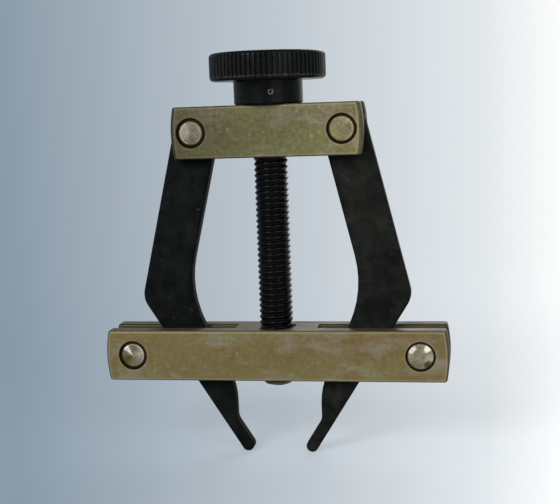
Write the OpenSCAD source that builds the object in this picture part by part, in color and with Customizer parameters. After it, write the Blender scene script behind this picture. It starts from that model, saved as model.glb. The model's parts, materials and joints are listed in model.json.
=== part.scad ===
// Screw-operated roller chain puller.
// A short upper bar carries two cranked jaw arms on pivot pins. The arms run down through a longer
// lower bar, whose guide pins wedge their outer edges inwards as the knurled screw draws it up.
// Millimetres. +Z runs up the screw to the knob, +X along the bars, and the front faces look to -Y.
// The origin lies on the screw's axis at the level of the jaw tips.

/* [Bars] */
// Height and depth of the square bar stock
bar_size = 14.3; // [13:0.1:16]
// Length of the upper bar
upper_bar_l = 53; // [50:0.2:60]
// Length of the lower bar
lower_bar_l = 96.8; // [90:0.2:104]
// Height of the lower bar's middle above the jaw tips
lower_bar_z = 29; // [26:0.1:30]
// Distance between the middles of the two bars with the jaws open
bar_spread = 62.2; // [60:0.1:68]
// Radius of the convex bar ends, seen from the front
bar_end_r = 33; // [20:1:60]
// Rounding of the bars' long edges
bar_edge_r = 0.5; // [0.2:0.1:1]
// Side play of an arm in its slot, on each side
slot_play = 0.25; // [0.15:0.05:0.4]
// Least room between an arm and the inner end of its slot
slot_end_room = 0.5; // [0.4:0.1:1]

/* [Pins] */
// Diameter of the pivot pins and the guide pins
pin_d = 7.94; // [7:0.02:8.4]
// Chamfer on both ends of a pin
pin_chamfer = 0.6; // [0.3:0.05:0.9]
// Depth of a pin's ends below the faces of its bar
pin_recess = 0.3; // [0.1:0.05:0.6]
// Distance of a pivot pin from the end of the upper bar
pivot_inset = 5.7; // [5.4:0.1:7]
// Distance of a guide pin from the end of the lower bar
guide_inset = 7.8; // [6:0.1:9]
// Chamfer round the mouths of the pin holes
hole_chamfer = 0.3; // [0.1:0.05:0.5]
// Radial clearance of a pin in its bar
pin_fit = 0.02; // [0.01:0.01:0.05]
// Radial clearance of an arm on its pivot pin
swing_fit = 0.06; // [0.03:0.01:0.1]

/* [Jaw arms] */
// Thickness of the arm plate
arm_t = 4.5; // [3.5:0.1:5.5]
// Width of the upper limb
arm_w = 12.5; // [11:0.1:14]
// Outward lean of the upper limb
limb_angle = 13.5; // [10:0.5:15]
// Inward lean of the jaw below the elbow
jaw_angle = 32.3; // [31:0.1:35]
// Inward lean of the throat, the inner edge where the arm passes the lower bar
throat_angle = 25.1; // [23:0.1:28]
// Gap between the two jaw tips
tip_gap = 15.2; // [13:0.1:17]
// Width of a jaw tip
tip_w = 3.4; // [3:0.1:4.5]
// Gap between the two heels, the upright inner edges above the tips
heel_gap = 24.5; // [22:0.1:26]
// Height of the bend between heel and throat
heel_z = 18.8; // [17:0.1:20]
// Rounding of the outer elbow
elbow_r = 6; // [2:0.5:8]
// Radius of the inner hollow at the elbow
hollow_r = 29; // [20:1:32]
// Radius of the bend between heel and throat
heel_r = 21; // [10:1:22]
// Radius of the notch between heel and tip
notch_r = 4; // [1:0.5:5]

/* [Screw] */
// Nominal diameter of the screw, which its plain shank has
screw_d = 9.525; // [8:0.025:11]
// How far the thread's crests lie below the plain shank
crest_cut = 0.06; // [0.04:0.01:0.2]
// Rise of the thread in one turn
thread_pitch = 1.5875; // [1.25:0.0125:1.75]
// Length of screw below the lower bar
screw_stick_out = 2; // [1:0.1:4]
// Chamfer at the screw's free end
screw_chamfer = 1.1; // [0.6:0.1:1.4]
// Length of plain shank inside the upper bar, below its top face
shank_in_bar = 9; // [5:0.5:12]
// Radial clearance between the screw's thread and the lower bar's
thread_play = 0.2; // [0.15:0.01:0.25]
// Radial clearance of the shank in the upper bar
shank_fit = 0.15; // [0.1:0.01:0.3]
// Chamfer round the mouths of the screw holes in the bars
bore_chamfer = 0.6; // [0.3:0.1:1]

/* [Knob] */
// Diameter over the ribs of the knob's head
head_d = 32; // [28:0.1:36]
// Thickness of the head
head_h = 7.6; // [7:0.1:10]
// Rounding of the head's rims
head_round = 1.2; // [0.5:0.1:2]
// Number of gripping ribs
rib_count = 72; // [48:1:90]
// Depth of the grooves between the ribs
rib_depth = 0.5; // [0.3:0.05:0.6]
// Diameter of the collar under the head
collar_d = 19.05; // [17:0.05:22]
// Height of the collar
collar_h = 6.4; // [5:0.1:8]
// Chamfer at the collar's foot
collar_chamfer = 0.4; // [0.2:0.1:0.8]
// Room between the collar and the upper bar
collar_room = 0.1; // [0.05:0.05:0.3]
// Thickness of the knob above the screw's socket
knob_cap = 3; // [2:0.1:4]
// Radial clearance of the shank in its socket
socket_fit = 0.02; // [0.01:0.01:0.05]
// Room above the screw's top in its socket
socket_room = 0.2; // [0.1:0.1:0.5]
// Diameter of the roll pin that locks the knob to the screw
roll_pin_d = 1.6; // [1.5:0.1:3]
// Wall of the roll pin
roll_pin_wall = 0.45; // [0.3:0.05:0.6]
// Width of the slit along the roll pin
roll_pin_slit = 0.3; // [0.2:0.05:0.5]
// Depth of the roll pin's ends below the collar's round face
roll_pin_recess = 0.1; // [0.05:0.05:0.5]
// Radial clearance of the roll pin in its cross hole
roll_pin_fit = 0.01; // [0.005:0.005:0.03]
// Turn of the roll pin's hole to the right of the front
roll_pin_turn = 14.5; // [0:0.5:90]

/* [Hidden] */
$fn = 64;

bar_half = bar_size / 2;
upper_bar_z = lower_bar_z + bar_spread;
pivot_x = upper_bar_l / 2 - pivot_inset;
guide_x = lower_bar_l / 2 - guide_inset;
pin_l = bar_size - 2 * pin_recess;
slot_w = arm_t + 2 * slot_play;
collar_z = upper_bar_z + bar_half + collar_room;
head_z = collar_z + collar_h;
roll_pin_z = collar_z + collar_h / 2;
screw_end_z = lower_bar_z - bar_half - screw_stick_out;
shank_z = upper_bar_z + bar_half - shank_in_bar;
socket_z = head_z + head_h - knob_cap;
// Shares of a rib's spacing that its top and its foot take up
rib_top = 0.4;
rib_foot = 0.84;
// Cutters reach this far past the faces that they cut
over = 1;

// How far the chords of a drawn arc may lie inside it
arc_error = 0.015;

function unit(v) = v / norm(v);
// Points along the arc of radius r round c, between two angles
function arc(c, r, from, to) =
    let (steps = ceil(abs(to - from) / (2 * acos(1 - arc_error / r))))
        [
            for (i = [0:steps])
                let (a = from + (to - from) * i / steps)
                    c + r * [cos(a), sin(a)]
        ];
// Arc of radius r that rounds the corner b between the points a and c
function fillet(a, b, c, r) =
    let (
        u = unit(a - b),
        v = unit(c - b),
        half = acos(u * v) / 2,
        mid = b + unit(u + v) * r / sin(half),
        p = b + u * r / tan(half) - mid,
        q = b + v * r / tan(half) - mid,
        from = atan2(p.y, p.x),
        turn = (atan2(q.y, q.x) - from + 540) % 360 - 180
    )
    arc(mid, r, from, from + turn);
// Where the line through p along u meets the line through q along v
function meet(p, u, q, v) =
    let (d = q - p)
        p + u * (d.x * v.y - d.y * v.x) / (u.x * v.y - u.y * v.x);
function rounded_square(size, r) =
    let (
        h = size / 2,
        corners = [[h, h], [-h, h], [-h, -h], [h, -h]]
    )
    [for (i = [0:3]) each fillet(corners[(i + 3) % 4], corners[i], corners[(i + 1) % 4], r)];

// Outline of the right arm with the jaws open, as points [x, z]
limb_half = arm_w / 2;
tip_r = tip_w / 2;
pivot_at = [pivot_x, upper_bar_z];
limb_along = [sin(limb_angle), -cos(limb_angle)];
limb_across = [cos(limb_angle), sin(limb_angle)];
tip_at = [tip_gap / 2 + tip_r, tip_r];
jaw_along = [sin(jaw_angle), cos(jaw_angle)];
jaw_across = [cos(jaw_angle), -sin(jaw_angle)];
heel_at = [heel_gap / 2, heel_z];
throat_along = [sin(throat_angle), cos(throat_angle)];
outer_limb = pivot_at + limb_across * limb_half;
inner_limb = pivot_at - limb_across * limb_half;
outer_tip = tip_at + jaw_across * tip_r;
inner_tip = tip_at - jaw_across * tip_r;
elbow = meet(outer_limb, limb_along, outer_tip, jaw_along);
hollow = meet(inner_limb, limb_along, heel_at, throat_along);
notch = meet(inner_tip, jaw_along, heel_at, [0, 1]);
arm_outline = concat(
    arc(pivot_at, limb_half, 180 + limb_angle, limb_angle),
    fillet(outer_limb, elbow, outer_tip, elbow_r),
    arc(tip_at, tip_r, -jaw_angle, -jaw_angle - 180),
    fillet(inner_tip, notch, heel_at, notch_r),
    fillet(notch, heel_at, hollow, heel_r),
    fillet(heel_at, hollow, inner_limb, hollow_r)
);

// Inner ends of the slots: the lower one clears the heel, the upper one the arm's round top
lower_slot_x = heel_gap / 2 - slot_end_room;
upper_slot_x = pivot_x - limb_half - slot_end_room;

// Proportions of the thread: depth and flats as shares of the pitch
thread_depth = 0.6 * thread_pitch;
root_flat = 0.2 * thread_pitch;
crest_flat = 0.14 * thread_pitch;
thread_d = screw_d - 2 * crest_cut;
thread_from_z = screw_end_z - thread_pitch;
// Steps in one turn of the helix
turn_steps = 16;

// Helical thread as one closed surface. Along the helix run a root flat, a rising flank, a crest
// flat and a falling flank, which ends on the root of the next turn. A fan closes each end.
module thread(d, from_z, to_z, root_w, crest_w) {
    step_rise = thread_pitch / turn_steps;
    flank = (thread_pitch - root_w - crest_w) / 2;
    root_r = d / 2 - thread_depth;
    profile = [[root_r, 0], [root_r, root_w], [d / 2, root_w + flank], [d / 2, root_w + flank + crest_w]];
    last = ceil((to_z - from_z) / step_rise);
    helix = [
        for (i = [0:last + turn_steps], p = profile)
            let (a = 360 * i / turn_steps)
                [p[0] * cos(a), p[0] * sin(a), p[1] + from_z + i * step_rise]
    ];
    foot = len(helix);
    top = foot + 1;
    ends = [[0, 0, from_z], [0, 0, from_z + (last + turn_steps) * step_rise]];
    // Point k of the profile at step i; the fifth is the root one turn on
    function id(i, k) = k < 4 ? 4 * i + k : 4 * (i + turn_steps);
    faces = [
        for (i = [0:last - 1], k = [0:3])
            each [
                [id(i, k), id(i + 1, k + 1), id(i + 1, k)],
                [id(i, k), id(i, k + 1), id(i + 1, k + 1)]
            ],
        for (i = [0:turn_steps - 1])
            each [
                [foot, id(i, 0), id(i + 1, 0)],
                [top, id(last + i + 1, 0), id(last + i, 0)]
            ],
        for (k = [0:3])
            each [
                [foot, id(0, k + 1), id(0, k)],
                [top, id(last, k), id(last, k + 1)]
            ]
    ];
    polyhedron(concat(helix, ends), faces);
}

// The lower bar's thread: wider than the screw's by the play, and centred on the screw's ridge
module thread_cutter() {
    thread(
        thread_d + 2 * thread_play,
        thread_from_z + thread_play / 2,
        lower_bar_z + bar_half + thread_pitch,
        root_flat - thread_play,
        crest_flat + thread_play
    );
}

// A turned pin along Y with chamfered ends
module pin(x, z) {
    r = pin_d / 2;
    h = pin_l / 2;
    translate([x, 0, z])
        rotate([90, 0, 0])
            rotate_extrude()
                polygon([
                    [0, -h], [r - pin_chamfer, -h], [r, pin_chamfer - h],
                    [r, h - pin_chamfer], [r - pin_chamfer, h], [0, h]
                ]);
}

// Cutter for a pin's hole through a bar, with a chamfered mouth on each face
module pin_hole(x, z) {
    r = pin_d / 2 + pin_fit;
    mouth = r + hole_chamfer + over;
    h = bar_half + over;
    neck = bar_half - hole_chamfer;
    translate([x, 0, z])
        rotate([90, 0, 0])
            rotate_extrude()
                polygon([[0, -h], [mouth, -h], [r, -neck], [r, neck], [mouth, h], [0, h]]);
}

// Countersink cones at the two mouths of a hole of diameter d up through a bar
module bore_mouths(d, z) {
    rim = d / 2 + bore_chamfer + over;
    for (side = [0, 1])
        translate([0, 0, z])
            mirror([0, 0, side])
                translate([0, 0, bar_half + over - rim])
                    cylinder(r1 = 0, r2 = rim, h = rim);
}

// Cutter for a sawn slot from the bar's end inwards to inner_x, open above and below
module slot(inner_x, l, z) {
    translate([inner_x, -slot_w / 2, z - bar_half - over])
        cube([l / 2 + over - inner_x, slot_w, bar_size + 2 * over]);
}

// Square bar with rounded long edges and convex ends
module bar_blank(l, z) {
    end_dip = bar_end_r - sqrt(bar_end_r * bar_end_r - bar_half * bar_half);
    translate([0, 0, z])
        difference() {
            rotate([90, 0, 90])
                linear_extrude(l, center = true)
                    polygon(rounded_square(bar_size, bar_edge_r));
            for (side = [0, 1])
                mirror([side, 0, 0])
                    difference() {
                        translate([l / 2 - end_dip - over, -bar_half - over, -bar_half - over])
                            cube([end_dip + 2 * over, bar_size + 2 * over, bar_size + 2 * over]);
                        translate([l / 2 - bar_end_r, 0, 0])
                            rotate([90, 0, 0])
                                cylinder(r = bar_end_r, h = bar_size + 4 * over, center = true);
                    }
        }
}

// Forked bar: a slot and a pin hole at each end
module forked_bar(l, z, slot_x, pin_x) {
    difference() {
        bar_blank(l, z);
        for (side = [0, 1])
            mirror([side, 0, 0]) {
                slot(slot_x, l, z);
                pin_hole(pin_x, z);
            }
    }
}

module arm_plate() {
    difference() {
        rotate([90, 0, 0])
            linear_extrude(arm_t, center = true)
                polygon(arm_outline);
        translate([pivot_x, 0, upper_bar_z])
            rotate([90, 0, 0])
                cylinder(d = pin_d + 2 * swing_fit, h = arm_t + 2 * over, center = true);
    }
}

// Cylinder along the roll pin's hole, through collar and screw
module across_collar(d, l) {
    translate([0, 0, roll_pin_z])
        rotate([90, 0, roll_pin_turn])
            cylinder(d = d, h = l, center = true);
}

// Round outline with straight ribs, each a trapezium
module rib_outline() {
    step = 360 / rib_count;
    tip = head_d / 2;
    groove = tip - rib_depth;
    half_top = step * rib_top / 2;
    half_foot = step * rib_foot / 2;
    rib = [[groove, -half_foot], [tip, -half_top], [tip, half_top], [groove, half_foot]];
    polygon([
        for (i = [0:rib_count - 1], p = rib)
            p[0] * [cos(i * step + p[1]), sin(i * step + p[1])]
    ]);
}

module knob() {
    r = head_d / 2;
    rim = [[0, 0], [r, 0], [r, head_h], [0, head_h]];
    c = collar_d / 2;
    color("#1b1b1a")
        difference() {
            union() {
                translate([0, 0, head_z])
                    intersection() {
                        linear_extrude(head_h) rib_outline();
                        rotate_extrude()
                            polygon(concat(
                                [rim[0]],
                                fillet(rim[0], rim[1], rim[2], head_round),
                                fillet(rim[1], rim[2], rim[3], head_round),
                                [rim[3]]
                            ));
                    }
                translate([0, 0, collar_z])
                    rotate_extrude()
                        polygon([
                            [0, 0], [c - collar_chamfer, 0], [c, collar_chamfer],
                            [c, collar_h + over], [0, collar_h + over]
                        ]);
            }
            translate([0, 0, collar_z - over])
                cylinder(d = screw_d + 2 * socket_fit, h = socket_z - collar_z + over);
            across_collar(roll_pin_d + 2 * roll_pin_fit, collar_d + 2 * over);
        }
}

module screw() {
    r = thread_d / 2;
    top = shank_z + 2 * over;
    color("#1f1f1e")
        difference() {
            union() {
                intersection() {
                    thread(thread_d, thread_from_z, shank_z, root_flat, crest_flat);
                    rotate_extrude()
                        polygon([
                            [0, screw_end_z], [r - screw_chamfer, screw_end_z],
                            [r + over, screw_end_z + screw_chamfer + over], [r + over, top], [0, top]
                        ]);
                }
                translate([0, 0, shank_z])
                    cylinder(d = screw_d, h = socket_z - socket_room - shank_z);
            }
            across_collar(roll_pin_d + 2 * roll_pin_fit, collar_d);
        }
}

module knob_roll_pin() {
    l = collar_d - 2 * roll_pin_recess;
    color("#4a4a48")
        difference() {
            across_collar(roll_pin_d, l);
            across_collar(roll_pin_d - 2 * roll_pin_wall, l + 2 * over);
            translate([0, 0, roll_pin_z])
                rotate([0, 0, roll_pin_turn])
                    translate([-roll_pin_slit / 2, -l / 2 - over, 0])
                        cube([roll_pin_slit, l + 2 * over, roll_pin_d]);
        }
}

module upper_bar() {
    bore = screw_d + 2 * shank_fit;
    color("#7a7152")
        difference() {
            forked_bar(upper_bar_l, upper_bar_z, upper_slot_x, pivot_x);
            translate([0, 0, upper_bar_z])
                cylinder(d = bore, h = bar_size + 2 * over, center = true);
            bore_mouths(bore, upper_bar_z);
        }
}

module lower_bar() {
    color("#7a7152")
        difference() {
            forked_bar(lower_bar_l, lower_bar_z, lower_slot_x, guide_x);
            thread_cutter();
            bore_mouths(thread_d + 2 * thread_play, lower_bar_z);
        }
}

module right_arm() {
    color("#191918") arm_plate();
}

module left_arm() {
    color("#191918") mirror([1, 0, 0]) arm_plate();
}

module left_pivot_pin() {
    color("#9a958c") pin(-pivot_x, upper_bar_z);
}

module right_pivot_pin() {
    color("#9a958c") pin(pivot_x, upper_bar_z);
}

module left_guide_pin() {
    color("#9a958c") pin(-guide_x, lower_bar_z);
}

module right_guide_pin() {
    color("#9a958c") pin(guide_x, lower_bar_z);
}

knob();
screw();
knob_roll_pin();
upper_bar();
lower_bar();
left_arm();
right_arm();
left_pivot_pin();
right_pivot_pin();
left_guide_pin();
right_guide_pin();
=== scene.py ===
# %% [markdown]
# # A roller chain puller
# The tool is eleven pieces of steel. A knurled knob turns a screw, the screw draws a long forked bar up
# two cranked arms, and the thin tips of the arms close on a chain. The frame holds every piece at its
# real size and place. This lesson gives each piece its softened edges and its finish.

# %% Load the frame
import json
import math

import bmesh
import bpy
import numpy as np
from mathutils import Matrix, Vector


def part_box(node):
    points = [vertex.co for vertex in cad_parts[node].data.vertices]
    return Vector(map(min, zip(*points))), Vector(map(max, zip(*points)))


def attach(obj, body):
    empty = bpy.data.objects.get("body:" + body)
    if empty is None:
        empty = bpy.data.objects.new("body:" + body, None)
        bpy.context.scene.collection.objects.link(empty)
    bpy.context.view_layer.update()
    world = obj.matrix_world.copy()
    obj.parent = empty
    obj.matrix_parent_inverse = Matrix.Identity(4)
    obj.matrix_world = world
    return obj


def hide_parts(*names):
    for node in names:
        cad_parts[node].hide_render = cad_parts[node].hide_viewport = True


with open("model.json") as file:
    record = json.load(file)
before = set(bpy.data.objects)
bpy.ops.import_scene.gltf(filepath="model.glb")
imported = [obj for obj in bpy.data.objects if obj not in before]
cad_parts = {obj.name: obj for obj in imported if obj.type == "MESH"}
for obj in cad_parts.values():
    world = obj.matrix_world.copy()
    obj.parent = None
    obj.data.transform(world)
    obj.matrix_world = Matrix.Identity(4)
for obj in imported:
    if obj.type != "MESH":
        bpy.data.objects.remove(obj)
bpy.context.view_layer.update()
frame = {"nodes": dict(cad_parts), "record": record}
MM = 0.001
scene = bpy.context.scene
print("pieces in the frame:", sorted(frame["nodes"]))

# %% [markdown]
# ## Camera
# The photograph was taken from about 30 cm away, a little above the middle of the tool and to its right,
# so the right half is nearer and larger and the lower bar shows its top face. A long lens from further
# off would lose that, so the camera stands at the real distance.

# %% Camera
FRAME_WIDTH_PX = 560
FOCAL_LENGTH_PX = 1098.6
CAMERA_PLACE = Vector((56.9, -300, 97.5)) * MM
CAMERA_YAW, CAMERA_PITCH, CAMERA_ROLL = map(math.radians, (10.25, -7.77, 0.68))

camera_data = bpy.data.cameras.new("camera")
camera_data.sensor_width = 36
camera_data.lens = FOCAL_LENGTH_PX / FRAME_WIDTH_PX * camera_data.sensor_width
camera = bpy.data.objects.new("camera", camera_data)
scene.collection.objects.link(camera)
turn = (
    Matrix.Rotation(CAMERA_ROLL, 3, "Y")
    @ Matrix.Rotation(CAMERA_PITCH, 3, "X")
    @ Matrix.Rotation(CAMERA_YAW, 3, "Z")
)
right, ahead, up = turn.col
camera.matrix_world = Matrix.Translation(CAMERA_PLACE) @ Matrix((right, up, -ahead)).transposed().to_4x4()
scene.camera = camera
print("lens", round(camera_data.lens, 1), "mm")

# %% [markdown]
# ## Sizes
# Where a piece lies and how big it is comes from the frame. The few sizes below are those of edges,
# arcs and threads, which a box cannot tell.

# %% Sizes from the frame
def middle(node):
    """Centre of a node's box and half its size along each axis, in metres."""
    low, high = (np.array(corner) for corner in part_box(node))
    return (low + high) / 2, (high - low) / 2


upper_mid, upper_half = middle("upper_bar")
lower_mid, lower_half = middle("lower_bar")
pivot_mid, pivot_half = middle("right_pivot_pin")
guide_mid, _ = middle("right_guide_pin")
_, arm_half = middle("right_arm")
knob_mid, knob_half = middle("knob")
screw_mid, screw_half = middle("screw")
roll_mid, _ = middle("knob_roll_pin")
BAR_HALF = upper_half[2]
PIN_R = pivot_half[0]
print("bars", 2 * upper_half[0] / MM, 2 * lower_half[0] / MM, "pin", 2 * PIN_R / MM)

# %% [markdown]
# ## Meshes from rings of points
# Every new piece but the screw is a stack of rings: a bar is its plan carried upwards, an arm its outline
# carried through the plate, a pin or a knob its profile carried round an axis. One function turns such a
# stack into a closed mesh. Points that fall together, as at a pole, are merged, and normals point outwards.

# %% Mesh helpers
SMOOTH_BELOW = math.radians(32)
MERGE_WITHIN = 0.0005 * MM


def tidy_mesh(name, points, faces):
    """Object of a closed mesh, with doubles merged, normals outwards and sharp corners kept sharp."""
    mesh = bpy.data.meshes.new(name)
    mesh.from_pydata(points, [], faces)
    shape = bmesh.new()
    shape.from_mesh(mesh)
    bmesh.ops.remove_doubles(shape, verts=shape.verts, dist=MERGE_WITHIN)
    bmesh.ops.recalc_face_normals(shape, faces=shape.faces)
    shape.to_mesh(mesh)
    shape.free()
    mesh.shade_smooth()
    mesh.set_sharp_from_angle(angle=SMOOTH_BELOW)
    made = bpy.data.objects.new(name, mesh)
    scene.collection.objects.link(made)
    return made


def ring_quads(rings):
    """Number of each point of rings[row, column], and the quads between neighbouring rings."""
    rows, columns = rings.shape[:2]
    here = np.arange(rows * columns).reshape(rows, columns)
    beside = np.roll(here, -1, axis=1)
    quads = np.stack([here[:-1], beside[:-1], beside[1:], here[1:]], -1)
    return here, quads.reshape(-1, 4).tolist()


def from_rings(name, rings):
    """Object from rings[row, column]: quads between neighbouring rings and a flat cap on both ends."""
    here, quads = ring_quads(rings)
    caps = [here[0][::-1].tolist(), here[-1].tolist()]
    return tidy_mesh(name, rings.reshape(-1, 3), quads + caps)


print("edges of under", round(math.degrees(SMOOTH_BELOW)), "degrees are shaded smooth")

# %% [markdown]
# ## Holes and places
# A hole could be woven into the rings round it, but it is simpler to cut it out with a closed shape, as a
# drill does. A finished piece then takes the place of its node: it moves with the same body.

# %% Cutting and placing
def cut(piece, *cutters):
    """Cuts closed shapes out of a piece, keeps the result as its mesh and drops the cutters."""
    for cutter in cutters:
        opening = piece.modifiers.new("opening", "BOOLEAN")
        opening.object = cutter
        opening.solver = "EXACT"
    view = bpy.context.evaluated_depsgraph_get()
    whole, piece.data = piece.data, bpy.data.meshes.new_from_object(piece.evaluated_get(view))
    piece.modifiers.clear()
    bpy.data.meshes.remove(whole)
    for cutter in cutters:
        bpy.data.meshes.remove(cutter.data)
    piece.data.shade_smooth()
    piece.data.set_sharp_from_angle(angle=SMOOTH_BELOW)
    return piece


def stands_for(piece, node, material):
    """The piece takes a node's place: it rides on the node's body and has the given material in its slot.
    """
    record = frame["record"]
    body = next(b for b, nodes in record["behaviour"]["bodies"].items() if node in nodes)
    piece.data.materials.clear()
    piece.data.materials.append(material)
    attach(piece, body)
    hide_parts(node)
    print(piece.name, len(piece.data.polygons), "faces, rides on", body)


# %% [markdown]
# ## Outlines made of arcs
# The plan of a bar and the outline of an arm are straight edges joined by arcs, so the arcs alone say
# everything. Drawing an outline in by some distance only changes the radii: a corner that bulges gets
# smaller and a hollow gets larger. That is what rounds the edges of a plate all the way round.

# %% Outlines and plates
ARC_STEP = 7.5
EDGE_STEPS = 6
FLAT_RIM = 0.08 * MM


def arc(middle_at, radius, start, end, bulge=1):
    """Points of an arc by inset: its middle plus its radius, less the inset where it bulges."""
    steps = max(3, math.ceil(abs(end - start) / ARC_STEP) + 1)
    angle = np.radians(np.linspace(start, end, steps))
    spokes = np.stack([np.cos(angle), np.sin(angle)], -1)
    return lambda inset: np.asarray(middle_at) + (radius - bulge * inset) * spokes


def rounded_corner(before, corner, after, radius, bulge=1):
    """Arc that touches both edges of a corner; its middle lies on the line that halves the corner."""
    back, on = ((p - corner) / np.linalg.norm(p - corner) for p in (before, after))
    half = math.acos(back @ on) / 2
    halving = (back + on) / np.linalg.norm(back + on)
    centre = corner + halving * radius / math.sin(half)
    start, end = (
        math.degrees(math.atan2(*(corner + edge * radius / math.tan(half) - centre)[::-1]))
        for edge in (back, on)
    )
    short_way = (end - start + 540) % 360 - 180
    return arc(centre, radius, start, start + short_way, bulge)


def plate_rings(arcs, half, edge, wall_rows=2):
    """Rings of a plate: the outline at each depth, drawn in along a quarter circle at both faces.

    At angle t of the quarter circle the outline is drawn in by edge * (1 - cos t) and lies
    edge * (1 - sin t) inside the face. A narrow flat rim keeps the shading of the face flat.
    """
    t = np.radians(np.linspace(90, 0, EDGE_STEPS))
    inset = np.concatenate([[edge + FLAT_RIM], edge * (1 - np.cos(t))])
    depth = np.concatenate([[half], half - edge * (1 - np.sin(t))])
    wall = np.linspace(half - edge, edge - half, wall_rows)[1:-1]
    inset = np.concatenate([inset, np.zeros_like(wall), inset[::-1]])
    depth = np.concatenate([depth, wall, -depth[::-1]])
    rings = [np.concatenate([a(d) for a in arcs]) for d in inset]
    return np.stack(rings), depth


print("a quarter circle has", len(arc((0, 0), MM, 0, 90)(0)), "points")

# %% [markdown]
# ## Turned shapes
# Pins, hole cutters and the knob are lathe work: a profile of radius and height turned round an axis. A
# cutter reaches past the faces that it cuts, so that no thin skin is left.

# %% Turned shapes
CUT_PAST = 1 * MM


def turned(profile, axis, columns=96):
    """Rings of a turned shape: each (radius, height) of the profile goes once round the axis."""
    angle = np.linspace(0, 2 * np.pi, columns, endpoint=False)
    radius, height = np.asarray(profile, float).T
    across = radius[:, None] * np.cos(angle)
    beside = radius[:, None] * np.sin(angle)
    along = np.broadcast_to(height[:, None], across.shape)
    order = {"y": (across, along, beside), "z": (across, beside, along)}[axis]
    return np.stack(order, -1)


def hole_cutter(name, at, axis, radius, chamfer):
    """Cutter for a hole right through a bar, whose mouths widen by the chamfer at the bar's faces."""
    neck, face = BAR_HALF - chamfer, BAR_HALF + CUT_PAST
    mouth = radius + chamfer + CUT_PAST
    profile = [(0, -face), (mouth, -face), (radius, -neck), (radius, neck), (mouth, face), (0, face)]
    return from_rings(name, turned(profile, axis) + np.asarray(at))


print("a turned ring has", turned([(PIN_R, 0)], "z").shape[1], "points")

# %% [markdown]
# ## Screw thread
# A thread is one ridge wound round and round, so its rows follow the helix: the last row of a turn is
# the first row of the next one. Rows at equal heights would cut across the ridge and leave it jagged.

# %% Thread
THREAD_PITCH = 1.5875 * MM
THREAD_DEPTH = 0.25 * THREAD_PITCH
CREST_R = 4.7 * MM
SCREW_R = 4.7625 * MM
RIDGE_PLACE = np.array([0, 0.2, 0.46, 0.52, 0.68, 0.74]) * THREAD_PITCH
RIDGE_HEIGHT = np.array([0, 0, 0.88, 1, 1, 0.88]) * THREAD_DEPTH
TURN_STEPS = 48
screw_low, screw_high = screw_mid[2] - screw_half[2], screw_mid[2] + screw_half[2]


def threaded_rod(name, bottom, top, play, shape_end):
    """Closed helix: radius by place on the ridge, height rising one pitch a turn.

    Past each end the height stays at the end and the radius shrinks to nothing within one pitch, so
    the last turn winds itself up into a flat face. shape_end(radius, height) trims the ends.
    """
    place = RIDGE_PLACE + play / 2 * np.array([1, -1, -1, -1, 1, 1])
    first = screw_low + THREAD_PITCH * (math.floor((bottom - screw_low) / THREAD_PITCH) - 2)
    turns = math.ceil((top - first) / THREAD_PITCH) + 3
    step = np.arange(turns * TURN_STEPS + 1)
    angle = 2 * np.pi * step / TURN_STEPS
    height = first + THREAD_PITCH * step[:, None] / TURN_STEPS + place
    radius = np.broadcast_to(CREST_R - THREAD_DEPTH + play + RIDGE_HEIGHT, height.shape)
    radius = shape_end(radius, height)
    past = np.maximum(height - top, bottom - height) / THREAD_PITCH
    radius = radius * np.clip(1 - past, 0, 1) ** (past > 0)
    height = np.clip(height, bottom, top)
    points = np.stack([radius * np.cos(angle)[:, None], radius * np.sin(angle)[:, None], height], -1)
    number = np.arange(height.size).reshape(height.shape)
    strip = np.concatenate([number[:-TURN_STEPS], number[TURN_STEPS:, :1]], axis=1)
    quads = np.stack([strip[:-1, :-1], strip[1:, :-1], strip[1:, 1:], strip[:-1, 1:]], -1)
    return tidy_mesh(name, points.reshape(-1, 3), quads.reshape(-1, 4).tolist())


print("thread", THREAD_PITCH / MM, "mm a turn and", round(THREAD_DEPTH / MM, 2), "mm deep")

# %% [markdown]
# ## Colours and nodes
# Colours are written as they look on a screen and turned into the linear values that light needs. One
# small function adds a node, and the size of each pattern is given in millimetres. A worn surface is
# built up as paint is: each tone is laid over the last, where its own pattern is strong.

# %% Material helpers
# The colour sockets of a Mix node by number, and the sockets of a Map Range node in their order.
MIX_A, MIX_B, MIX_OUT = 6, 7, 2
RANGE = ("Value", "From Min", "From Max", "To Min", "To Max")


def linear(hex_code):
    """Linear colour of an sRGB hex code."""
    srgb = np.array([int(hex_code[i : i + 2], 16) for i in (1, 3, 5)]) / 255
    return (*np.where(srgb <= 0.04045, srgb / 12.92, ((srgb + 0.055) / 1.055) ** 2.4), 1.0)


def add(tree, kind, inputs=None, **settings):
    """Adds a node with its settings; inputs holds values and links by socket."""
    node = tree.nodes.new("ShaderNode" + kind)
    for name, value in settings.items():
        setattr(node, name, value)
    for socket, value in (inputs or {}).items():
        if isinstance(value, bpy.types.NodeSocket):
            tree.links.new(value, node.inputs[socket])
        else:
            node.inputs[socket].default_value = value
    return node


def new_material(name):
    """Empty material and its node tree."""
    material = bpy.data.materials.new(name)
    material.use_nodes = True
    material.node_tree.nodes.clear()
    return material, material.node_tree


def per_mm(size):
    """Texture scale at which one feature is about size millimetres wide."""
    return 1 / (size * MM)


def layered(tree, colour, layers):
    """Lays tones over a colour, one after the other.

    The share of a layer grows from nothing to its strength as its source goes from start to full.
    """
    for source, start, full, strength, tone in layers:
        share = add(tree, "MapRange", dict(zip(RANGE, (source, start, full, 0.0, strength))))
        layer = {0: share.outputs[0], MIX_A: colour, MIX_B: linear(tone)}
        colour = add(tree, "Mix", layer, data_type="RGBA").outputs[MIX_OUT]
    return colour


print("mid grey is", round(linear("#808080")[0], 3), "in linear light")

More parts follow.
